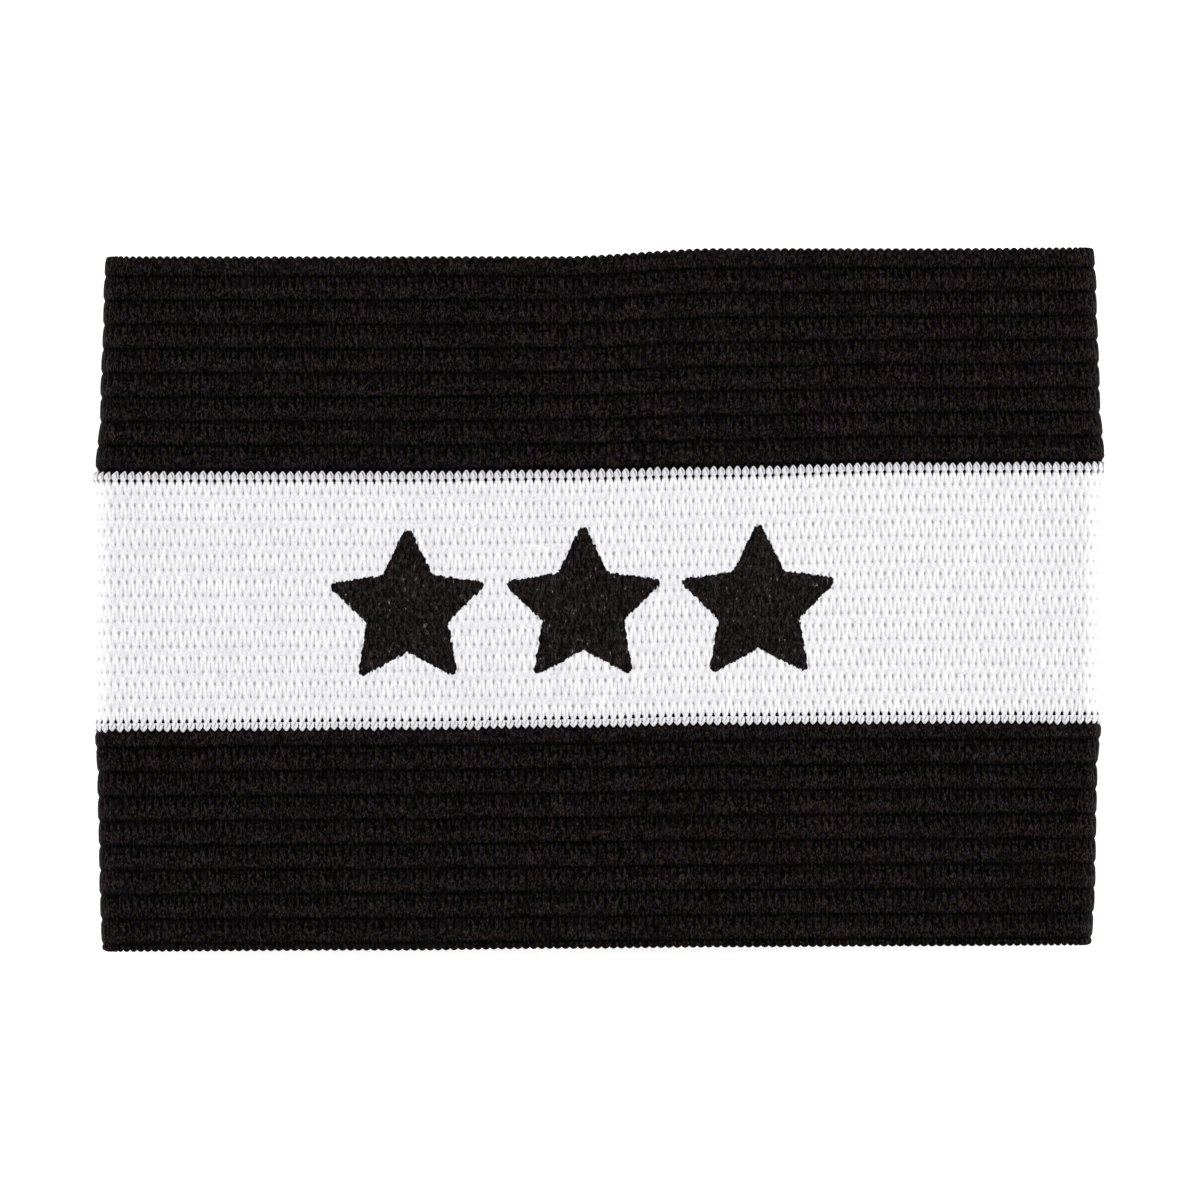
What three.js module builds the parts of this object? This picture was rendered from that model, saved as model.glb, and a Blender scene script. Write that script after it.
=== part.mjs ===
// Captain armband: a wide ribbed elastic loop in three colour bands, lying flattened.
// Millimetres. +X runs from fold to fold, +Y across the web, +Z up from the surface it lies on.
// The arm goes in along Y. Each band is a hollow ring of web with ribs along its length.

import * as THREE from 'three';

// Driving sizes of the loop as it lies
const FLAT_WIDTH = 129.5;
const UPPER_BAND_WIDTH = 27.2;
const CENTRE_BAND_WIDTH = 33.4;
const LOWER_BAND_WIDTH = 27.9;
const WEB_THICKNESS = 1.3;
const FOLD_HEIGHT = 5.8;
const CROWN_HEIGHT = 8.4;

// Ribs of the knit, and the clearance between bands of different colour
const RIB_PITCH = 3.19;
const RIB_DEPTH = 0.2;
const BAND_CLEARANCE = 0.3;

// Facets round the loop, and rows of facets along the smooth inner side of a band
const UNDERSIDE_FACETS = 10;
const FOLD_FACETS = 8;
const TOP_FACETS = 16;
const INNER_ROWS = 3;

// One rib: where its lines lie, as a share of the rib, and how deep, as a share of the rib depth
const RIB_LINES = [
  { across: 0.0, depth: 1 },
  { across: 0.28, depth: 0 },
  { across: 0.72, depth: 0 },
];

// The bands from the upper selvedge down. The sides columns say how far each fold is drawn in from
// the widest place, as a share of the flat width, at a share of the way across the band.
const BANDS = [
  {
    name: 'upper_black_band',
    width: UPPER_BAND_WIDTH,
    colour: '#151113',
    upperLine: 'upperSelvedge',
    lowerLine: 'upperBorder',
    sides: [
      { across: 0.0, left: 0.0109, right: 0.0109 },
      { across: 0.2, left: 0.0094, right: 0.0084 },
      { across: 0.7, left: 0.0064, right: 0.0052 },
      { across: 1.0, left: 0.0015, right: 0.0005 },
    ],
  },
  {
    name: 'white_centre_band',
    width: CENTRE_BAND_WIDTH,
    colour: '#e6e6e8',
    upperLine: 'upperBorder',
    lowerLine: 'lowerBorder',
    sides: [
      { across: 0.0, left: 0.0, right: 0.0 },
      { across: 0.9, left: 0.0, right: 0.0015 },
      { across: 1.0, left: 0.0005, right: 0.0036 },
    ],
  },
  {
    name: 'lower_black_band',
    width: LOWER_BAND_WIDTH,
    colour: '#120e0d',
    upperLine: 'lowerBorder',
    lowerLine: 'lowerSelvedge',
    sides: [
      { across: 0.0, left: 0.001, right: 0.0045 },
      { across: 0.2, left: 0.0036, right: 0.0078 },
      { across: 0.7, left: 0.0056, right: 0.0096 },
      { across: 1.0, left: 0.0079, right: 0.0129 },
    ],
  },
];

// How the selvedges and colour borders climb from the left fold to the right one, as shares of the
// width of the whole web
const LINE_CLIMB = [
  { along: 0.0, upperSelvedge: 0.0, upperBorder: 0.0, lowerBorder: 0.0, lowerSelvedge: 0.0 },
  { along: 0.3, upperSelvedge: -0.0006, upperBorder: 0.0, lowerBorder: 0.0029, lowerSelvedge: 0.0025 },
  { along: 0.46, upperSelvedge: -0.001, upperBorder: 0.0016, lowerBorder: 0.0045, lowerSelvedge: 0.0036 },
  { along: 0.62, upperSelvedge: 0.0108, upperBorder: 0.0058, lowerBorder: 0.0087, lowerSelvedge: 0.0055 },
  { along: 0.8, upperSelvedge: 0.0112, upperBorder: 0.0123, lowerBorder: 0.0101, lowerSelvedge: 0.0068 },
  { along: 1.0, upperSelvedge: 0.013, upperBorder: 0.013, lowerBorder: 0.0101, lowerSelvedge: 0.008 },
];

const WEB_WIDTH = UPPER_BAND_WIDTH + CENTRE_BAND_WIDTH + LOWER_BAND_WIDTH;
const FOLD_RADIUS = FOLD_HEIGHT / 2;
const CROWN_RISE = CROWN_HEIGHT - FOLD_HEIGHT;

// Reads one column of a table smoothly at a place given in its place column
function readTable(table, placeColumn, valueColumn, place) {
  const last = table.length - 1;
  const clamped = Math.min(Math.max(place, table[0][placeColumn]), table[last][placeColumn]);
  let i = 0;
  while (i < last - 1 && clamped > table[i + 1][placeColumn]) {
    i += 1;
  }
  const from = table[i];
  const to = table[i + 1];
  const step = (clamped - from[placeColumn]) / (to[placeColumn] - from[placeColumn]);
  return THREE.MathUtils.lerp(from[valueColumn], to[valueColumn], THREE.MathUtils.smoothstep(step, 0, 1));
}

// The stations round the loop, looking along +Y: underside, right fold, top, left fold. Each gives
// the stretch it lies on and the share of the way along that stretch.
function loopStations() {
  const stretches = [
    { stretch: 'underside', facets: UNDERSIDE_FACETS },
    { stretch: 'rightFold', facets: FOLD_FACETS },
    { stretch: 'top', facets: TOP_FACETS },
    { stretch: 'leftFold', facets: FOLD_FACETS },
  ];
  return stretches.flatMap(({ stretch, facets }) =>
    Array.from({ length: facets }, (_, i) => ({ stretch, share: i / facets })));
}

// A point of the loop's outer outline with its outward direction, for folds at the given two places
function outlinePoint({ stretch, share }, leftEnd, rightEnd) {
  const left = leftEnd + FOLD_RADIUS;
  const right = rightEnd - FOLD_RADIUS;
  if (stretch === 'underside') {
    return { x: THREE.MathUtils.lerp(left, right, share), z: 0, outX: 0, outZ: -1 };
  }
  if (stretch === 'top') {
    const span = right - left;
    const angle = 2 * Math.PI * share;
    const slope = -CROWN_RISE * Math.PI * Math.sin(angle) / span;
    const length = Math.hypot(1, slope);
    return {
      x: THREE.MathUtils.lerp(right, left, share),
      z: FOLD_HEIGHT + CROWN_RISE * (1 - Math.cos(angle)) / 2,
      outX: -slope / length,
      outZ: 1 / length,
    };
  }
  const centre = stretch === 'rightFold' ? right : left;
  const start = stretch === 'rightFold' ? -Math.PI / 2 : Math.PI / 2;
  const angle = start + Math.PI * share;
  return {
    x: centre + FOLD_RADIUS * Math.cos(angle),
    z: FOLD_RADIUS + FOLD_RADIUS * Math.sin(angle),
    outX: Math.cos(angle),
    outZ: Math.sin(angle),
  };
}

// The lines that run round one band: down its ribbed outer side, then back up its smooth inner side.
// Each has its share of the way across the band and its depth below the rib crests.
function bandLines(width) {
  const ribs = Math.max(1, Math.round(width / RIB_PITCH));
  const outer = [];
  for (let rib = 0; rib < ribs; rib += 1) {
    for (const line of RIB_LINES) {
      outer.push({ across: (rib + line.across) / ribs, depth: line.depth * RIB_DEPTH });
    }
  }
  outer.push({ across: 1, depth: RIB_DEPTH });
  const inner = [];
  for (let row = INNER_ROWS; row >= 0; row -= 1) {
    inner.push({ across: row / INNER_ROWS, depth: WEB_THICKNESS });
  }
  return [...outer, ...inner];
}

// One band as a closed ring, drawn round its own centre line
function bandGeometry(band, upperEdge, upperClearance, lowerClearance) {
  const stations = loopStations();
  const lines = bandLines(band.width);
  const centreLine = upperEdge - band.width / 2;
  const positions = [];
  for (const line of lines) {
    const leftEnd = -FLAT_WIDTH / 2 + FLAT_WIDTH * readTable(band.sides, 'across', 'left', line.across);
    const rightEnd = FLAT_WIDTH / 2 - FLAT_WIDTH * readTable(band.sides, 'across', 'right', line.across);
    for (const station of stations) {
      const point = outlinePoint(station, leftEnd, rightEnd);
      const along = point.x / FLAT_WIDTH + 0.5;
      const upperClimb = WEB_WIDTH * readTable(LINE_CLIMB, 'along', band.upperLine, along);
      const lowerClimb = WEB_WIDTH * readTable(LINE_CLIMB, 'along', band.lowerLine, along);
      const upper = upperEdge + upperClimb - upperClearance;
      const lower = upperEdge - band.width + lowerClimb + lowerClearance;
      positions.push(
        point.x - point.outX * line.depth,
        THREE.MathUtils.lerp(upper, lower, line.across) - centreLine,
        point.z - point.outZ * line.depth,
      );
    }
  }
  const faces = [];
  for (let i = 0; i < lines.length; i += 1) {
    const nextLine = ((i + 1) % lines.length) * stations.length;
    for (let j = 0; j < stations.length; j += 1) {
      const next = (j + 1) % stations.length;
      const a = i * stations.length + j;
      const b = i * stations.length + next;
      const c = nextLine + next;
      const d = nextLine + j;
      faces.push(a, b, c, a, c, d);
    }
  }
  const geometry = new THREE.BufferGeometry();
  geometry.setAttribute('position', new THREE.Float32BufferAttribute(positions, 3));
  geometry.setIndex(faces);
  geometry.computeVertexNormals();
  return geometry;
}

// The three bands side by side, from the upper selvedge down
const loop = new THREE.Group();
let edge = WEB_WIDTH / 2;
BANDS.forEach((band, i) => {
  const upperClearance = i === 0 ? 0 : BAND_CLEARANCE / 2;
  const lowerClearance = i === BANDS.length - 1 ? 0 : BAND_CLEARANCE / 2;
  const material = new THREE.MeshStandardMaterial({ color: band.colour, roughness: 0.95, metalness: 0 });
  const mesh = new THREE.Mesh(bandGeometry(band, edge, upperClearance, lowerClearance), material);
  mesh.name = band.name;
  mesh.position.y = edge - band.width / 2;
  loop.add(mesh);
  edge -= band.width;
});

// The origin is the centre of the surface under the loop
const bounds = new THREE.Box3().setFromObject(loop);
const middle = bounds.getCenter(new THREE.Vector3());
loop.position.set(-middle.x, -middle.y, -bounds.min.z);

const armband = new THREE.Group();
armband.add(loop);

export default armband;
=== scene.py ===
"""Captain armband: a ribbed crochet-knit loop in black and white yarn, lying flattened.

Metres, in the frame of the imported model: +X from fold to fold, +Y across the web, +Z up.
A place on the web is given by its column, which counts stitches round the loop from the left end
of the top, and by its share of the way across the web, from the upper selvedge to the lower one.
"""

import math

import bpy
import numpy as np
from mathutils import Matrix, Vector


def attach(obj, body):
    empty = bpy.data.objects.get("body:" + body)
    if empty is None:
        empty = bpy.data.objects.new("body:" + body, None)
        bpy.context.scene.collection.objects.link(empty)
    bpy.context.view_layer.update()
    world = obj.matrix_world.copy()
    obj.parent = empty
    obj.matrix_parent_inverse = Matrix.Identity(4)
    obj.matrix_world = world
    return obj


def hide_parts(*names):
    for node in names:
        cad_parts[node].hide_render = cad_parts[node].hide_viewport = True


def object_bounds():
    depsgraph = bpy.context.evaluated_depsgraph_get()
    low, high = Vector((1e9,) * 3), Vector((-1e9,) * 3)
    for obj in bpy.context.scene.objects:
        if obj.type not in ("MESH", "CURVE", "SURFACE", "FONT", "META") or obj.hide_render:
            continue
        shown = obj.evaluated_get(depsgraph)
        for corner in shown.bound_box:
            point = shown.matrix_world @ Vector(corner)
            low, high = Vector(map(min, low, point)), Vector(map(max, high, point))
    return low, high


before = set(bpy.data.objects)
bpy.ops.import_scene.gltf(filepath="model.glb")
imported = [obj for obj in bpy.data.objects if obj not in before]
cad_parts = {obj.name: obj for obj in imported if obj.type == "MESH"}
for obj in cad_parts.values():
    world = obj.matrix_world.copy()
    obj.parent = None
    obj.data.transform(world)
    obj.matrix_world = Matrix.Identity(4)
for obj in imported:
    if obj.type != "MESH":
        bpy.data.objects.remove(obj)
cad_low, cad_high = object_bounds()

MM = 0.001
RANDOM = np.random.default_rng(7)

# Sizes of the loop as it lies
FLAT_WIDTH = cad_high.x - cad_low.x
CROWN_HEIGHT = cad_high.z
FOLD_HEIGHT = 5.8 * MM
FOLD_RADIUS = FOLD_HEIGHT / 2
CROWN_RISE = CROWN_HEIGHT - FOLD_HEIGHT
WEB_THICKNESS = 1.3 * MM

# Stitch columns on each stretch of the loop, and how many stations of the mesh each column has
FLAT_COLUMNS = 121.5
FOLD_COLUMNS = 9
LOOP_COLUMNS = 261
TOP_STATIONS = 8
FOLD_STATIONS = 6
UNDERSIDE_STATIONS = 2

# How the selvedges and colour borders climb from the left fold to the right one, as shares of the
# web's width, at shares of the flat width
CLIMB_PLACES = np.array([0.0, 0.3, 0.46, 0.62, 0.8, 1.0])
CLIMB_LINES = [
    {"across": 0.0, "climb": np.array([0.0, -0.0006, -0.001, 0.0108, 0.0112, 0.013])},
    {"across": 0.3073, "climb": np.array([-0.0011, -0.0009, 0.0013, 0.0058, 0.0123, 0.013])},
    {"across": 0.6847, "climb": np.array([-0.0021, 0.001, 0.004, 0.0086, 0.0101, 0.0101])},
    {"across": 1.0, "climb": np.array([-0.001, 0.0015, 0.0045, 0.0063, 0.0073, 0.0084])},
]
WEB_WIDTH = (cad_high.y - cad_low.y) / (1 + CLIMB_LINES[0]["climb"][-1])

# How far the folds are drawn in from the widest place, as shares of the flat width, at shares of
# the way across
SIDE_PLACES = np.array([0.0, 0.0615, 0.215, 0.307, 0.313, 0.647, 0.685, 0.748, 0.905, 1.0])
SIDE_LEFT = np.array([0.0109, 0.0094, 0.0064, 0.0015, 0.0, 0.0, 0.001, 0.0036, 0.0056, 0.0079])
SIDE_RIGHT = np.array([0.0109, 0.0084, 0.0052, 0.0005, 0.0, 0.0015, 0.004, 0.0078, 0.0096, 0.0129])

# How much of a flat stretch a drawn-in fold pulls along with it
DRAWN_IN = 0.12

# The knit of each part of the web: where its first row of eyes lies and how far apart the rows
# are, as shares of the way across, and which stitch it has
KNITS = {
    "upper_black_web": {"first": 0.0267, "period": 0.0348, "stitch": "closed"},
    "white_centre_web": {"first": 0.3393, "period": 0.03677, "stitch": "open"},
    "lower_black_web": {"first": 0.7052, "period": 0.0356, "stitch": "closed"},
}

# The two stitches. Down a row two strands cross, then an arch starts and its legs spread. Places
# across are in columns from the middle of the arch, phases are shares of a row, and heights run from
# 0 at the bottom of an eye to 1 at the crests. Rows lists the phases that have a row of the mesh, and
# ground is the least height between strands and in arches. An eye reaches its half width to
# each side, and above and below its phase. Taper widens it downwards and lean shifts it sideways.
STITCHES = {
    "open": {
        "rows": (0.0, 0.12, 0.27, 0.37, 0.47, 0.63, 0.85),
        "crossing": 0.45,
        "strands": [
            {"start": 0.5, "end": -0.08, "half": 0.21, "height": 1.0},
            {"start": -0.5, "end": 0.1, "half": 0.2, "height": 0.85},
        ],
        "arch": {"start": 0.14, "end": 0.34, "start_half": 0.23, "end_half": 0.25, "cap_half": 0.4},
        "ground": {"crossing": 0.5, "arch": 0.55},
        "eyes": [
            {"at": 0.0, "phase": 0.0, "half": 0.145, "above": 0.13, "below": 0.05, "taper": 0.2,
             "lean": 0.0, "depth": 1.0},
            {"at": 0.03, "phase": 0.2, "half": 0.16, "above": 0.05, "below": 0.08, "taper": 0.3,
             "lean": 0.5, "depth": 0.3},
            {"at": 0.5, "phase": 0.47, "half": 0.17, "above": 0.09, "below": 0.12, "taper": 0.0,
             "lean": 0.0, "depth": 1.0},
            {"at": 0.0, "phase": 0.37, "half": 0.3, "above": 0.05, "below": 0.04, "taper": 0.0,
             "lean": 0.0, "depth": 0.25},
        ],
    },
    "closed": {
        "rows": (0.0, 0.05, 0.18, 0.29, 0.4, 0.58, 0.84),
        "crossing": 0.36,
        "strands": [
            {"start": -0.14, "end": -0.1, "half": 0.2, "height": 1.0},
            {"start": 0.32, "end": 0.24, "half": 0.19, "height": 0.75},
        ],
        "arch": {"start": 0.13, "end": 0.26, "start_half": 0.3, "end_half": 0.24, "cap_half": 0.45},
        "ground": {"crossing": 0.4, "arch": 0.7},
        "eyes": [
            {"at": 0.0, "phase": 0.0, "half": 0.2, "above": 0.12, "below": 0.05, "taper": 0.4,
             "lean": 0.0, "depth": 1.0},
            {"at": 0.0, "phase": 0.01, "half": 2.0, "above": 0.05, "below": 0.07, "taper": 0.0,
             "lean": 0.0, "depth": 0.45},
            {"at": 0.5, "phase": 0.35, "half": 0.16, "above": 0.09, "below": 0.08, "taper": -0.3,
             "lean": 1.4, "depth": 1.0},
        ],
    },
}

# Relief of the knit, with the groove between ribs, and how far along an arch its top closes
STITCH_DEPTH = 0.29 * MM
RIB_DEPTH = 0.05 * MM
GROOVE_PHASE = 0.12
GROOVE_SHARPNESS = 2
CAP_END = 0.5
CAP_FADE = 3
STITCH_UNEVENNESS = 0.14
STITCH_SHIFT = 0.035

# More rows of eyes than any knit here has
MOST_ROWS = 16


def read_table(places, values, place):
    """Reads a table smoothly, flat at the places it names."""
    i = np.clip(np.searchsorted(places, place, side="right") - 1, 0, len(places) - 2)
    step = np.clip((place - places[i]) / (places[i + 1] - places[i]), 0, 1)
    return values[i] + (values[i + 1] - values[i]) * step * step * (3 - 2 * step)


def lerp(start, end, share):
    """The value at a share of the way from start to end."""
    return start + (end - start) * share


def flat_x(share, left_inset, right_inset):
    """The x of a place on a flat stretch. Only the columns near a fold are drawn in with it."""
    reach = FLAT_WIDTH / 2 - FOLD_RADIUS
    from_left = np.clip(1 - share / DRAWN_IN, 0, 1) ** 2
    from_right = np.clip(1 - (1 - share) / DRAWN_IN, 0, 1) ** 2
    return lerp(-reach, reach, share) + left_inset * from_left - right_inset * from_right


def web_point(column, across, depth):
    """Points of the web, depth below its rib crests, as an array with x, y and z last."""
    column, across, depth = np.broadcast_arrays(column % LOOP_COLUMNS, across, depth)
    left_inset = FLAT_WIDTH * read_table(SIDE_PLACES, SIDE_LEFT, across)
    right_inset = FLAT_WIDTH * read_table(SIDE_PLACES, SIDE_RIGHT, across)
    left = flat_x(0, left_inset, right_inset)
    right = flat_x(1, left_inset, right_inset)
    starts = np.cumsum([0, FLAT_COLUMNS, FOLD_COLUMNS, FLAT_COLUMNS])
    top, right_fold, underside, left_fold = (column - start for start in starts)
    crown = 2 * np.pi * top / FLAT_COLUMNS
    slope = CROWN_RISE * np.pi * np.sin(crown) / (right - left)
    tilt = np.arctan2(1, -slope)
    turn_right = np.pi / 2 - np.pi * right_fold / FOLD_COLUMNS
    turn_left = -np.pi / 2 - np.pi * left_fold / FOLD_COLUMNS
    where = [left_fold >= 0, underside >= 0, right_fold >= 0]
    x = np.select(
        where,
        [
            left + FOLD_RADIUS * np.cos(turn_left),
            flat_x(1 - underside / FLAT_COLUMNS, left_inset, right_inset),
            right + FOLD_RADIUS * np.cos(turn_right),
        ],
        flat_x(top / FLAT_COLUMNS, left_inset, right_inset),
    )
    z = np.select(
        where,
        [
            FOLD_RADIUS + FOLD_RADIUS * np.sin(turn_left),
            np.zeros_like(x),
            FOLD_RADIUS + FOLD_RADIUS * np.sin(turn_right),
        ],
        FOLD_HEIGHT + CROWN_RISE * (1 - np.cos(crown)) / 2,
    )
    facing = np.select(where, [turn_left, np.full_like(x, -np.pi / 2), turn_right], tilt)
    along = x / FLAT_WIDTH + 0.5
    line_places = np.array([line["across"] for line in CLIMB_LINES])
    climbs = np.array([read_table(CLIMB_PLACES, line["climb"], along) for line in CLIMB_LINES])
    i = np.clip(np.searchsorted(line_places, across, side="right") - 1, 0, len(line_places) - 2)
    share = (across - line_places[i]) / (line_places[i + 1] - line_places[i])
    upper = np.take_along_axis(climbs, i[None], 0)[0]
    lower = np.take_along_axis(climbs, i[None] + 1, 0)[0]
    y = cad_low.y + WEB_WIDTH * (1 - across + lerp(upper, lower, share))
    return np.stack([x - depth * np.cos(facing), y, z - depth * np.sin(facing)], -1)


def strand(offset, path, width):
    """Height of a round strand across its width. It repeats at each column."""
    away = (offset - path + 0.5) % 1 - 0.5
    return np.sqrt(np.clip(1 - (away / width) ** 2, 0, 1))


def eye_depth(offset, phase, eye):
    """How deep a place lies in an eye, from 0 outside it to the eye's own depth at its middle."""
    down = (phase - eye["phase"] + 0.5) % 1 - 0.5
    reach = down / np.where(down < 0, eye["above"], eye["below"])
    half = eye["half"] * (1 + eye["taper"] * np.clip(reach, -1, 1))
    beside = (offset - eye["at"] - eye["lean"] * down + 0.5) % 1 - 0.5
    return eye["depth"] * np.exp(-((beside / half) ** 2) - reach ** 2)


def stitch_height(offset, phase, stitch):
    """Height of the knit, from 0 at the bottom of an eye to 1 at the crests."""
    crossed = np.clip(phase / stitch["crossing"], 0, 1)
    arched = np.clip((phase - stitch["crossing"]) / (1 - stitch["crossing"]), 0, 1)
    crossing = np.max([
        row["height"] * strand(offset, lerp(row["start"], row["end"], crossed), row["half"])
        for row in stitch["strands"]
    ], 0)
    arch = stitch["arch"]
    leg = lerp(arch["start"], arch["end"], arched)
    half = lerp(arch["start_half"], arch["end_half"], arched)
    legs = np.maximum(strand(offset, leg, half), strand(offset, -leg, half))
    cap = strand(offset, 0, arch["cap_half"]) * np.clip(CAP_FADE * (CAP_END - arched), 0, 1)
    over_eye = phase < stitch["crossing"]
    height = np.where(over_eye, crossing, np.maximum(legs, cap))
    ground = stitch["ground"]
    height = np.maximum(height, np.where(over_eye, ground["crossing"], ground["arch"]))
    for eye in stitch["eyes"]:
        height = height * (1 - eye_depth(offset, phase, eye))
    return height


def relief(column, row, knit):
    """Depth below the rib crests of a knit, for a column and a count of rows of eyes."""
    rows = np.floor(row).astype(int) % MOST_ROWS
    columns = np.round(column).astype(int) % LOOP_COLUMNS
    uneven = RANDOM.normal(0, 1, (MOST_ROWS, LOOP_COLUMNS))[rows, columns]
    shift = RANDOM.normal(0, 1, (MOST_ROWS, LOOP_COLUMNS))[rows, columns]
    offset = column - np.round(column) + STITCH_SHIFT * shift
    phase = row - np.floor(row)
    height = stitch_height(offset, phase, STITCHES[knit["stitch"]])
    height = height * (1 - STITCH_UNEVENNESS * np.clip(uneven + 1, 0, 2) / 2)
    groove = (0.5 + 0.5 * np.cos(2 * np.pi * (phase - GROOVE_PHASE))) ** GROOVE_SHARPNESS
    return STITCH_DEPTH * (1 - height), RIB_DEPTH * groove


def new_piece(name, points, faces, attributes, material):
    """A smooth mesh from points, faces and named values at the points."""
    mesh = bpy.data.meshes.new(name)
    mesh.from_pydata(points.reshape(-1, 3).tolist(), [], faces)
    mesh.shade_smooth()
    for key, values in attributes.items():
        layer = mesh.attributes.new(key, "FLOAT", "POINT")
        layer.data.foreach_set("value", values.astype(np.float32).ravel())
    mesh.materials.append(material)
    piece = bpy.data.objects.new(name, mesh)
    bpy.context.scene.collection.objects.link(piece)
    return piece


def row_counts(knit, first, last):
    """Counts of rows of eyes at which the mesh has a row, from first to last."""
    counts = [n + phase for n in range(-1, MOST_ROWS) for phase in STITCHES[knit["stitch"]]["rows"]]
    return [count for count in counts if first <= count <= last]


# Rows at the ends of each web, which lie under a border or form a selvedge. Each has its count, how
# far it is sunk, and how far it shifts towards the lower selvedge between the arches and in line
# with them, in millimetres. The last columns say how sharp those shifts are.
EDGES = {
    "upper_black_web": {
        "upper": [
            {"count": -0.8, "sunk": 0.12, "between": 0.3, "in_line": 0.0, "sharpness": 2},
            {"count": -0.6, "sunk": 0.03, "between": 0.12, "in_line": 0.0, "sharpness": 2},
        ],
        "lower": [
            {"count": 8.0, "sunk": 0.15, "between": 0.0, "in_line": 0.0, "sharpness": 1},
            {"count": 8.12, "sunk": 0.3, "between": 0.0, "in_line": 0.0, "sharpness": 1},
            {"count": 8.3, "sunk": 0.34, "between": 0.1, "in_line": 0.0, "sharpness": 3},
            {"count": 8.4, "sunk": 0.36, "between": 0.62, "in_line": 0.0, "sharpness": 3},
        ],
        "from": -0.5,
        "to": 7.9,
    },
    "white_centre_web": {
        "upper": [
            {"count": -0.53, "sunk": 0.08, "between": 0.65, "in_line": 0.0, "sharpness": 3},
            {"count": -0.43, "sunk": 0.0, "between": 0.42, "in_line": 0.0, "sharpness": 3},
            {"count": -0.3, "sunk": 0.0, "between": 0.14, "in_line": 0.0, "sharpness": 3},
        ],
        "lower": [
            {"count": 8.93, "sunk": 0.08, "between": 0.0, "in_line": -0.42, "sharpness": 3},
        ],
        "from": -0.2,
        "to": 8.88,
    },
    "lower_black_web": {
        "upper": [
            {"count": -1.03, "sunk": 0.36, "between": 0.0, "in_line": -0.42, "sharpness": 3},
            {"count": -0.86, "sunk": 0.34, "between": 0.0, "in_line": 0.0, "sharpness": 1},
            {"count": -0.67, "sunk": 0.28, "between": 0.0, "in_line": 0.0, "sharpness": 1},
            {"count": -0.53, "sunk": 0.08, "between": 0.0, "in_line": 0.0, "sharpness": 1},
        ],
        "lower": [
            {"count": 8.09, "sunk": 0.0, "between": 0.0, "in_line": -0.05, "sharpness": 2},
            {"count": 8.19, "sunk": 0.02, "between": 0.0, "in_line": -0.14, "sharpness": 2},
            {"count": 8.28, "sunk": 0.12, "between": 0.0, "in_line": -0.26, "sharpness": 2},
        ],
        "from": -0.5,
        "to": 8.02,
    },
}

# How far the selvedges of the underside are tucked in behind those of the top, and at which columns
# the tuck starts and ends
TUCK = 0.16 * MM
TUCK_COLUMNS = np.cumsum([FLAT_COLUMNS + FOLD_COLUMNS / 2, 1, FLAT_COLUMNS + FOLD_COLUMNS - 2, 1])
TUCK_SHARES = np.array([0, 1, 1, 0])

# The rims of a web and its plain inner side: how far a selvedge bulges, the depths of a rim's rows
# as shares of the way in, and the inner rows with their margin as a share of the width and their shade
SELVEDGE_BULGE = 0.12 * MM
RIM_DEPTHS = (0.4, 0.78)
INNER_ROWS = 3
INNER_MARGIN = 0.004
INNER_SHADE = 0.4


def station_columns():
    """The columns of the mesh's stations round the loop."""
    stretches = [
        (FLAT_COLUMNS, TOP_STATIONS),
        (FOLD_COLUMNS, FOLD_STATIONS),
        (FLAT_COLUMNS, UNDERSIDE_STATIONS),
        (FOLD_COLUMNS, FOLD_STATIONS),
    ]
    start, stations = 0, []
    for columns, count in stretches:
        stations.append(start + np.arange(round(columns * count)) / count)
        start += columns
    return np.concatenate(stations)


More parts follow.
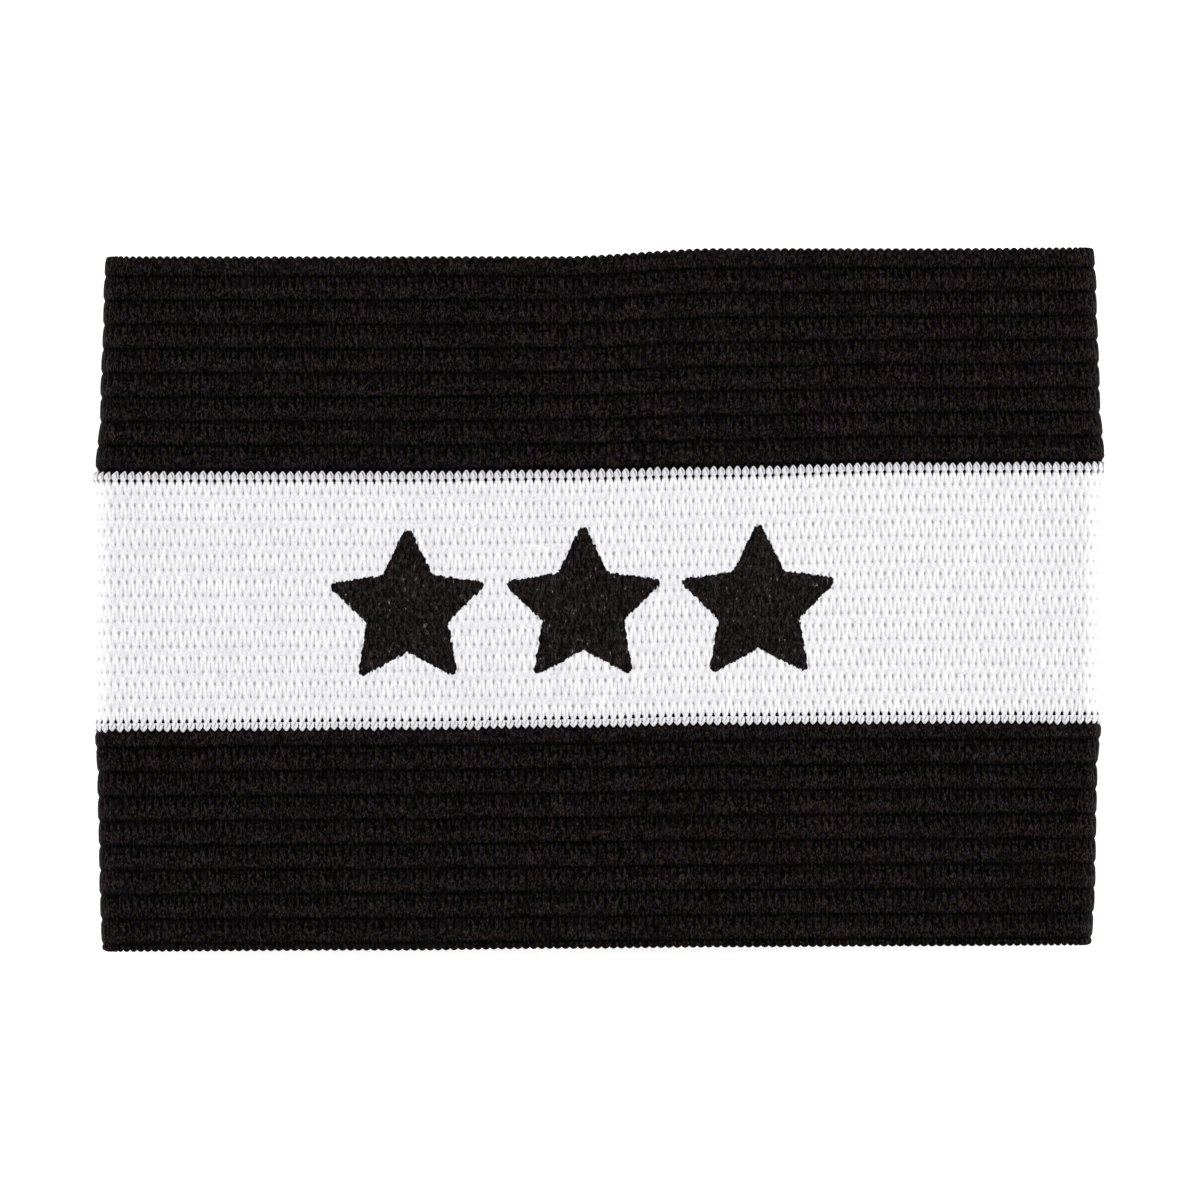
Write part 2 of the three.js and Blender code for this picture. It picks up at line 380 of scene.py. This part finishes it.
def build_web(name, material):
    """One colour of the web: its knitted outer side, its rims and its plain inner side."""
    knit, edges = KNITS[name], EDGES[name]
    stations = station_columns()
    side = 2 * np.abs(stations - np.round(stations))
    plain = [{"count": count, "sunk": 0.0, "between": 0.0, "in_line": 0.0, "sharpness": 1}
             for count in row_counts(knit, edges["from"], edges["to"])]
    rows = edges["upper"] + plain + edges["lower"]
    counts, sunk, between, in_line, sharpness = (
        np.array([row[key] for row in rows])[:, None]
        for key in ("count", "sunk", "between", "in_line", "sharpness")
    )
    shift = between * side ** sharpness + in_line * (1 - side) ** sharpness
    across = knit["first"] + knit["period"] * counts + shift * MM / WEB_WIDTH
    counts = counts + 0 * side
    depth, groove = relief(stations[None] + 0 * counts, counts, knit)
    # Painted shade: the deeper a place lies in the knit, the darker its colour is made
    painted_cavity_shade = depth / STITCH_DEPTH
    depth = depth + groove + sunk * MM

    # Selvedges are tucked in along the underside, and their rims bulge a little
    tuck = TUCK / WEB_WIDTH * read_table(TUCK_COLUMNS, TUCK_SHARES, stations)
    bulge = SELVEDGE_BULGE / WEB_WIDTH
    upper_selvedge, lower_selvedge = name == "upper_black_web", name == "lower_black_web"
    across[0] += tuck * upper_selvedge
    across[-1] -= tuck * lower_selvedge
    lower_rim = [(across[-1] + bulge * lower_selvedge, lerp(depth[-1], WEB_THICKNESS, share))
                 for share in RIM_DEPTHS]
    upper_rim = [(across[0] - bulge * upper_selvedge, lerp(depth[0], WEB_THICKNESS, share))
                 for share in RIM_DEPTHS[::-1]]
    inner = [(lerp(across[-1], across[0], share), WEB_THICKNESS + 0 * side)
             for share in np.linspace(INNER_MARGIN, 1 - INNER_MARGIN, INNER_ROWS)]
    hidden = lower_rim + inner + upper_rim
    across = np.vstack([across, [row[0] for row in hidden]])
    depth = np.vstack([depth, [row[1] for row in hidden]])
    # The rims and the inner side are given a painted shade as well
    painted_cavity_shade = np.vstack([painted_cavity_shade, np.full((len(hidden), len(side)), INNER_SHADE)])
    points = web_point(stations[None], across, depth)

    lines, round_loop = depth.shape
    i, j = np.meshgrid(np.arange(lines), np.arange(round_loop), indexing="ij")
    below, beside = (i + 1) % lines * round_loop, (j + 1) % round_loop
    corners = (i * round_loop + j, below + j, below + beside, i * round_loop + beside)
    faces = np.stack(corners, -1).reshape(-1, 4).tolist()
    attributes = {"painted_cavity_shade": painted_cavity_shade, "ink": ink_distance(points)}
    return new_piece(name, points, faces, attributes, material)


# The print: plain stars in a row
STAR_COUNT = 3
STAR_POINTS = 5
STAR_PITCH = 22.4 * MM
STAR_RADIUS = 9.6 * MM
STAR_WAIST = 0.5
STAR_ROUNDING = 0.6 * MM
PRINT_CENTRE = (-2.1 * MM, -1.0 * MM)
PRINT_SLOPE = 0.012

# Distance to the print, in millimetres, that is given where there is none
NO_INK = 50.0


def star_distance(x, y):
    """Distance to the outline of a star with one point up, negative inside it."""
    sector = 2 * np.pi / STAR_POINTS
    angle = np.abs((np.arctan2(x, y) + sector / 2) % sector - sector / 2)
    radius = np.hypot(x, y)
    across, up = radius * np.sin(angle), radius * np.cos(angle) - STAR_RADIUS
    waist = STAR_WAIST * STAR_RADIUS
    edge_x, edge_y = waist * math.sin(sector / 2), waist * math.cos(sector / 2) - STAR_RADIUS
    length = math.hypot(edge_x, edge_y)
    share = np.clip((across * edge_x + up * edge_y) / length ** 2, 0, 1)
    distance = np.hypot(across - share * edge_x, up - share * edge_y)
    outside = np.sign(edge_x * up - edge_y * across)
    return outside * distance - STAR_ROUNDING


def ink_distance(points):
    """Distance to the print in millimetres for points of the top, and far outside it elsewhere."""
    x, y, z = points[..., 0], points[..., 1], points[..., 2]
    first = PRINT_CENTRE[0] - (STAR_COUNT - 1) / 2 * STAR_PITCH
    middle = PRINT_CENTRE[1] + PRINT_SLOPE * (x - PRINT_CENTRE[0])
    distances = [star_distance(x - first - n * STAR_PITCH, y - middle) for n in range(STAR_COUNT)]
    on_top = z > FOLD_HEIGHT - WEB_THICKNESS / 2
    return np.where(on_top, np.min(distances, 0) / MM, NO_INK)


# Picot loops where the colours meet. A row of them starts at the end of a knit, at a count of rows of
# eyes, and its loops lie at an offset in their columns. Sections from +Y to -Y: how far each lies from
# that end, in millimetres towards +Y, its half width and middle as shares of a column, its depth in
# millimetres, where the line between the loop's two strands runs, as a share of the half width, and
# how clear that line is. The first and the last section are points.
PICOTS = {
    "upper_picots": {
        "knit": "white_centre_web",
        "count": -0.53,
        "offset": 0.0,
        "shade": 0.66,
        "sections": [
            {"away": 1.12, "half": 0.0, "middle": 0.04, "depth": 0.3, "line": 0.0, "clear": 0.0},
            {"away": 1.04, "half": 0.13, "middle": 0.04, "depth": 0.14, "line": 0.0, "clear": 0.0},
            {"away": 0.9, "half": 0.25, "middle": 0.03, "depth": 0.07, "line": 0.05, "clear": 0.6},
            {"away": 0.72, "half": 0.38, "middle": 0.02, "depth": 0.03, "line": 0.2, "clear": 1.0},
            {"away": 0.5, "half": 0.48, "middle": 0.0, "depth": 0.02, "line": 0.4, "clear": 0.8},
            {"away": 0.12, "half": 0.485, "middle": 0.0, "depth": 0.03, "line": 0.4, "clear": 0.1},
            {"away": -0.04, "half": 0.3, "middle": 0.0, "depth": 0.06, "line": 0.4, "clear": 0.0},
            {"away": -0.25, "half": 0.31, "middle": 0.0, "depth": 0.12, "line": 0.4, "clear": 0.0},
            {"away": -0.45, "half": 0.0, "middle": 0.0, "depth": 0.3, "line": 0.0, "clear": 0.0},
        ],
    },
    "lower_picots": {
        "knit": "white_centre_web",
        "count": 8.93,
        "offset": 0.5,
        "shade": 0.6,
        "sections": [
            {"away": 0.32, "half": 0.0, "middle": 0.0, "depth": 0.3, "line": 0.0, "clear": 0.0},
            {"away": 0.2, "half": 0.42, "middle": 0.0, "depth": 0.3, "line": 0.3, "clear": 0.0},
            {"away": -0.05, "half": 0.32, "middle": 0.0, "depth": 0.12, "line": 0.3, "clear": 0.0},
            {"away": -0.17, "half": 0.28, "middle": 0.0, "depth": 0.06, "line": 0.4, "clear": 0.3},
            {"away": -0.28, "half": 0.52, "middle": 0.0, "depth": 0.03, "line": 0.35, "clear": 0.6},
            {"away": -0.5, "half": 0.5, "middle": 0.03, "depth": 0.02, "line": 0.15, "clear": 0.6},
            {"away": -0.67, "half": 0.42, "middle": 0.07, "depth": 0.02, "line": -0.1, "clear": 0.6},
            {"away": -0.83, "half": 0.49, "middle": 0.03, "depth": 0.03, "line": -0.2, "clear": 0.5},
            {"away": -1.0, "half": 0.37, "middle": 0.0, "depth": 0.05, "line": -0.2, "clear": 0.3},
            {"away": -1.22, "half": 0.2, "middle": 0.0, "depth": 0.1, "line": 0.0, "clear": 0.0},
            {"away": -1.38, "half": 0.0, "middle": 0.0, "depth": 0.3, "line": 0.0, "clear": 0.0},
        ],
    },
}

# Places round a picot loop's section. Each lies at a share of the half width from the middle or, where
# it keeps to the line between the strands, from that line. It has a depth as a share of the loop's
# thickness and a share of shade, and takes a share of what a clear line adds to both.
LOOP_SECTION = [
    {"across": -1.0, "keeps_to_line": 0, "depth": 0.4, "shade": 1.3, "on_line": 0},
    {"across": -0.75, "keeps_to_line": 0, "depth": 0.12, "shade": 1.1, "on_line": 0},
    {"across": -0.28, "keeps_to_line": 1, "depth": 0.0, "shade": 1.0, "on_line": 0},
    {"across": 0.0, "keeps_to_line": 1, "depth": 0.0, "shade": 1.0, "on_line": 1},
    {"across": 0.28, "keeps_to_line": 1, "depth": 0.0, "shade": 1.0, "on_line": 0},
    {"across": 0.8, "keeps_to_line": 0, "depth": 0.12, "shade": 1.1, "on_line": 0},
    {"across": 1.0, "keeps_to_line": 0, "depth": 0.4, "shade": 1.3, "on_line": 0},
    {"across": 0.55, "keeps_to_line": 0, "depth": 1.0, "shade": 1.8, "on_line": 0},
    {"across": -0.55, "keeps_to_line": 0, "depth": 1.0, "shade": 1.8, "on_line": 0},
]
LINE_DEPTH = 0.6
LINE_SHADE = 0.9
PICOT_THICKNESS = 0.36 * MM
PICOT_LIFT = 0.16 * MM
PICOT_SWAY = 0.03
PICOT_UNEVENNESS = 0.04


def build_picots(name, material):
    """A row of picot loops, one to a column, pressed flat where they rest."""
    picot = PICOTS[name]
    knit = KNITS[picot["knit"]]
    base = knit["first"] + knit["period"] * picot["count"]
    places, follow, depths, shades, on_line = (
        np.array([row[key] for row in LOOP_SECTION])
        for key in ("across", "keeps_to_line", "depth", "shade", "on_line")
    )
    sections = picot["sections"]
    columns = np.arange(LOOP_COLUMNS)[:, None] + picot["offset"]
    sway = PICOT_SWAY * RANDOM.normal(0, 1, (LOOP_COLUMNS, 1))
    reach = 1 + PICOT_UNEVENNESS * RANDOM.normal(0, 1, (LOOP_COLUMNS, 1))
    rows, painted_cavity_shade = [], []
    for n, section in enumerate(sections):
        corners = len(LOOP_SECTION) if section["half"] else 1
        beside = (places + follow * section["line"])[None, :corners] * section["half"]
        column = columns + sway * (1 - n / len(sections)) + section["middle"] + beside
        across = base - section["away"] * reach * MM / WEB_WIDTH + 0 * column
        thick = (depths + LINE_DEPTH * section["clear"] * on_line)[None, :corners]
        shade = (shades + LINE_SHADE * section["clear"] * on_line)[None, :corners]
        depth = section["depth"] * MM - PICOT_LIFT + PICOT_THICKNESS * thick
        rows.append(web_point(column, across, depth + 0 * column))
        # Painted shade of the loop: darker at its sides, underneath and along the line between its
        # strands
        painted_cavity_shade.append(picot["shade"] * shade + 0 * column)
    points, painted_cavity_shade = np.concatenate(rows, 1), np.concatenate(painted_cavity_shade, 1)
    points[..., 2] = np.maximum(points[..., 2], 0)

    # Between its two points a loop has strips of faces, each from one full section to the next
    count, ring, strips = points.shape[1], len(LOOP_SECTION), len(sections) - 3
    faces = []
    for loop in range(LOOP_COLUMNS):
        tip = loop * count
        foot = tip + count - 1
        for j in range(ring):
            after = (j + 1) % ring
            faces.append((tip, tip + 1 + j, tip + 1 + after))
            for n in range(strips):
                here, below = tip + 1 + n * ring, tip + 1 + (n + 1) * ring
                faces.append((here + j, below + j, below + after, here + after))
            faces.append((foot, foot - ring + after, foot - ring + j))
    attributes = {"painted_cavity_shade": painted_cavity_shade, "ink": np.full(painted_cavity_shade.shape, NO_INK)}
    return new_piece(name, points, faces, attributes, material)


# Noise that makes up the yarn, in features a metre, and its levels of detail
STRAND_SCALE = 2600.0
PATCH_SCALE = 160.0
TINT_SCALE = 1300.0
FIBRE_DETAIL = 3.0
PLAIN_DETAIL = 2.0

# Stretches of that noise: where it runs from rough to smooth, where the second tint comes in, and
# where strands stay bare of ink
MIDDLE_NOISE = (0.3, 0.7)
TINT_NOISE = (0.4, 0.6)
BARE_NOISE = (0.68, 0.73)

# Surface of the yarn
YARN_ROUGHNESS = (0.89, 0.95)
SHEEN_ROUGHNESS = 0.4
FUZZ_HEIGHT = 0.05 * MM
FUZZ_STRENGTH = 0.5

# Edge of the ink, in millimetres: how ragged it is, how far eyes hold it back and how soft it is
RAGGED_EDGE = 0.12
EYE_SETBACK = 0.14
SOFT_EDGE = 0.1


def add_node(tree, kind, inputs=None, **settings):
    """A node with its settings, and its inputs set or linked."""
    node = tree.nodes.new(kind)
    for key, value in settings.items():
        setattr(node, key, value)
    for key, value in (inputs or {}).items():
        if isinstance(value, bpy.types.NodeSocket):
            tree.links.new(value, node.inputs[key])
        else:
            node.inputs[key].default_value = value
    return node


def math_node(tree, operation, *values):
    """The result of one operation on values or sockets."""
    return add_node(tree, "ShaderNodeMath", dict(enumerate(values)), operation=operation).outputs[0]


def ramp(tree, value, low, high, start, end):
    """A value carried from one range to another, smoothly and clamped."""
    inputs = {0: value, 1: low, 2: high, 3: start, 4: end}
    node = add_node(tree, "ShaderNodeMapRange", inputs, interpolation_type="SMOOTHSTEP")
    return node.outputs[0]


def mix_colours(tree, share, first, second):
    """A mix of two colours. The node takes colours at sockets 6 and 7 and gives one at output 2."""
    inputs = {0: share, 6: first, 7: second}
    return add_node(tree, "ShaderNodeMix", inputs, data_type="RGBA").outputs[2]


def noise(tree, vector, scale, detail=PLAIN_DETAIL):
    """Smooth noise from about 0 to 1."""
    inputs = {"Vector": vector, "Scale": scale, "Detail": detail}
    return add_node(tree, "ShaderNodeTexNoise", inputs).outputs[0]


def yarn_material(name, look):
    """Matte yarn: fibres along the stitches, uneven dye, painted glints on black, painted shade in the
    eyes.
    """
    material = bpy.data.materials.new(name)
    material.use_nodes = True
    tree = material.node_tree
    shader = tree.nodes["Principled BSDF"]
    coordinates = add_node(tree, "ShaderNodeTexCoord").outputs["Object"]
    stretched = {"Vector": coordinates, "Scale": (1.0, look["stretch"], 1.0)}
    along = add_node(tree, "ShaderNodeMapping", stretched)
    fibres = noise(tree, along.outputs[0], look["fibre_scale"], FIBRE_DETAIL)
    strands = noise(tree, along.outputs[0], STRAND_SCALE)
    patches = noise(tree, coordinates, PATCH_SCALE)
    tints = noise(tree, coordinates, TINT_SCALE)
    strand_share = 1 - look["fibre_share"] - look["patch_share"]
    mottle = math_node(tree, "MULTIPLY", fibres, look["fibre_share"])
    mottle = math_node(tree, "ADD", mottle, math_node(tree, "MULTIPLY", strands, strand_share))
    mottle = math_node(tree, "ADD", mottle, math_node(tree, "MULTIPLY", patches, look["patch_share"]))
    # The light end of the mottle; on black yarn it is dye with painted glints on the fibres
    light_share = ramp(tree, mottle, *look["mottle"], 0.0, 1.0)
    light_share = math_node(tree, "POWER", light_share, look["contrast"])
    tint_share = ramp(tree, tints, *TINT_NOISE, 0.0, 1.0)
    light = mix_colours(tree, tint_share, look["light"], look["tinted"])
    colour = mix_colours(tree, light_share, look["dark"], light)
    # Painted shade in the eyes and hollows of the knit, where the colour goes towards the deep one
    painted_cavity_shade = add_node(tree, "ShaderNodeAttribute", attribute_name="painted_cavity_shade").outputs["Fac"]
    eye_shade_share = ramp(tree, painted_cavity_shade, *look["eyes"], 0.0, 1.0)
    hollow_shade_share = ramp(tree, painted_cavity_shade, *look["hollows"], 0.0, look["hollow_shade"])
    eye_shade_share = math_node(tree, "MAXIMUM", eye_shade_share, hollow_shade_share)
    colour = mix_colours(tree, eye_shade_share, colour, look["deep"])
    if "ink" in look:
        ink = look["ink"]
        distance = add_node(tree, "ShaderNodeAttribute", attribute_name="ink").outputs["Fac"]
        wander = ramp(tree, strands, *MIDDLE_NOISE, -RAGGED_EDGE, RAGGED_EDGE)
        setback = math_node(tree, "MULTIPLY", painted_cavity_shade, EYE_SETBACK)
        ragged = math_node(tree, "ADD", math_node(tree, "ADD", distance, wander), setback)
        ink_share = math_node(tree, "POWER", light_share, ink["contrast"])
        inked = mix_colours(tree, ink_share, ink["dark"], ink["light"])
        # Painted shade in the eyes under the print as well
        inked = mix_colours(tree, eye_shade_share, inked, ink["dark"])
        bare = math_node(tree, "MULTIPLY", eye_shade_share, ramp(tree, strands, *BARE_NOISE, 0.0, 1.0))
        covered = math_node(tree, "SUBTRACT", ramp(tree, ragged, SOFT_EDGE, 0.0, 0.0, 1.0), bare)
        colour = mix_colours(tree, math_node(tree, "MAXIMUM", covered, 0.0), colour, inked)
    tree.links.new(colour, shader.inputs["Base Color"])
    roughness = ramp(tree, fibres, *MIDDLE_NOISE, *YARN_ROUGHNESS)
    tree.links.new(roughness, shader.inputs["Roughness"])
    shader.inputs["Specular IOR Level"].default_value = look["specular"]
    shader.inputs["Sheen Weight"].default_value = look["sheen"]
    shader.inputs["Sheen Roughness"].default_value = SHEEN_ROUGHNESS
    height = math_node(tree, "ADD", fibres, strands)
    bump = {"Height": height, "Strength": FUZZ_STRENGTH, "Distance": FUZZ_HEIGHT}
    fuzz = add_node(tree, "ShaderNodeBump", bump)
    tree.links.new(fuzz.outputs[0], shader.inputs["Normal"])
    return material


# Camera: straight above, as in the photograph
CAMERA_HEIGHT = 1.3
VIEW_WIDTH = 0.1532
VIEW_CENTRE = (0.06 * MM, -0.05 * MM)
SENSOR = 36.0
CLIP = (0.01, 10.0)

camera = bpy.data.objects.new("camera", bpy.data.cameras.new("camera"))
camera.data.sensor_width = SENSOR
camera.data.lens = SENSOR * CAMERA_HEIGHT / VIEW_WIDTH
camera.data.clip_start, camera.data.clip_end = CLIP
camera.location = (*VIEW_CENTRE, CAMERA_HEIGHT + FOLD_HEIGHT)
bpy.context.scene.collection.objects.link(camera)
bpy.context.scene.camera = camera

# Looks of the yarns. Colours are linear: deep, a painted shade in the eyes, then from dark to light
# along the fibres, with a second light tone in places. Mottle is the stretch of the noise that runs from
# dark to light.
# Eyes and hollows are the stretches of depth in which the painted shade comes in, in hollows only in
# part.
YARN_LOOKS = {
    "black_yarn": {
        "deep": (0.0003, 0.0002, 0.0002, 1),
        "dark": (0.0008, 0.0005, 0.0006, 1),
        # The bright flecks of this mottle are dye with painted glints on the black fibres
        "light": (0.031, 0.021, 0.027, 1),
        "tinted": (0.032, 0.024, 0.019, 1),
        "mottle": (0.36, 0.68),
        "contrast": 1.9,
        "eyes": (0.3, 0.85),
        "hollows": (0.1, 0.5),
        "hollow_shade": 0.25,
        "stretch": 0.55,
        "fibre_scale": 5500.0,
        "fibre_share": 0.6,
        "patch_share": 0.04,
        "specular": 0.008,
        "sheen": 0.07,
    },
    "white_yarn": {
        "deep": (0.29, 0.29, 0.31, 1),
        "dark": (0.64, 0.64, 0.66, 1),
        "light": (0.86, 0.86, 0.87, 1),
        "tinted": (0.86, 0.855, 0.88, 1),
        "mottle": (0.34, 0.64),
        "contrast": 1.0,
        "eyes": (0.48, 1.02),
        "hollows": (0.1, 0.5),
        "hollow_shade": 0.2,
        "stretch": 0.5,
        "fibre_scale": 6000.0,
        "fibre_share": 0.55,
        "patch_share": 0.05,
        "specular": 0.03,
        "sheen": 0.15,
        "ink": {
            "dark": (0.0005, 0.0004, 0.0004, 1),
            "light": (0.03, 0.023, 0.0213, 1),
            "contrast": 2.0,
        },
    },
}
YARNS = {
    "black_yarn": yarn_material("black_knit", YARN_LOOKS["black_yarn"]),
    "white_yarn": yarn_material("white_knit", YARN_LOOKS["white_yarn"]),
}

# The armband. Each colour of the web is a sheet: its width, here in millimetres, by the length once
# round the loop.
WEBS = [
    {"piece": "upper_black_web", "node": "upper_black_band", "slot": "black_yarn", "width": 27.8},
    {"piece": "white_centre_web", "node": "white_centre_band", "slot": "white_yarn", "width": 31.0},
    {"piece": "lower_black_web", "node": "lower_black_band", "slot": "black_yarn", "width": 28.5},
]

picots = [build_picots(name, YARNS["white_yarn"]) for name in PICOTS]
for picot in picots:
    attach(picot, "root")
for row in WEBS:
    web = build_web(row["piece"], YARNS[row["slot"]])
    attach(web, "root")
    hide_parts(row["node"])

# Floor: pale paper, lit through a little so that it is as bright as in the photograph
FLOOR_SIZE = 4.0
FLOOR_COLOUR = (0.9, 0.9, 0.9, 1)
FLOOR_GLOW = 0.5
FLOOR_ROUGHNESS = 0.9
FLOOR_SPECULAR = 0.1
WHITE = (1, 1, 1, 1)

bpy.ops.mesh.primitive_plane_add(size=FLOOR_SIZE)
floor = bpy.context.active_object
floor.name = "floor"
paper = bpy.data.materials.new("paper")
paper.use_nodes = True
paper_shader = paper.node_tree.nodes["Principled BSDF"]
paper_shader.inputs["Base Color"].default_value = FLOOR_COLOUR
paper_shader.inputs["Emission Color"].default_value = WHITE
paper_shader.inputs["Emission Strength"].default_value = FLOOR_GLOW
paper_shader.inputs["Roughness"].default_value = FLOOR_ROUGHNESS
paper_shader.inputs["Specular IOR Level"].default_value = FLOOR_SPECULAR
floor.data.materials.append(paper)

# Soft studio light: a bright room, a large light behind the upper edge, two low ones at the sides
# and a weak one in front. Sizes are in metres, powers in watts and angles in degrees.
ROOM_LIGHT = 0.51
LIGHT_DISTANCE = 0.9
LIGHTS = [
    {"name": "key", "azimuth": 90, "elevation": 55, "size": 0.5, "power": 4.2},
    {"name": "left_fill", "azimuth": 180, "elevation": 12, "size": 0.35, "power": 5.0},
    {"name": "right_fill", "azimuth": 0, "elevation": 12, "size": 0.35, "power": 7.3},
    {"name": "front_fill", "azimuth": 270, "elevation": 45, "size": 0.6, "power": 1.2},
]

world = bpy.data.worlds.new("studio")
bpy.context.scene.world = world
world.use_nodes = True
room = world.node_tree.nodes["Background"]
room.inputs["Color"].default_value = WHITE
room.inputs["Strength"].default_value = ROOM_LIGHT
for row in LIGHTS:
    lamp = bpy.data.lights.new(row["name"], "AREA")
    lamp.size = row["size"]
    lamp.energy = row["power"]
    light = bpy.data.objects.new(row["name"], lamp)
    azimuth, elevation = math.radians(row["azimuth"]), math.radians(row["elevation"])
    light.location = (
        LIGHT_DISTANCE * math.cos(azimuth) * math.cos(elevation),
        LIGHT_DISTANCE * math.sin(azimuth) * math.cos(elevation),
        LIGHT_DISTANCE * math.sin(elevation),
    )
    light.rotation_euler = light.location.to_track_quat("Z", "Y").to_euler()
    bpy.context.scene.collection.objects.link(light)

bpy.context.scene.view_settings.view_transform = "Standard"
bpy.context.scene.view_settings.look = "None"
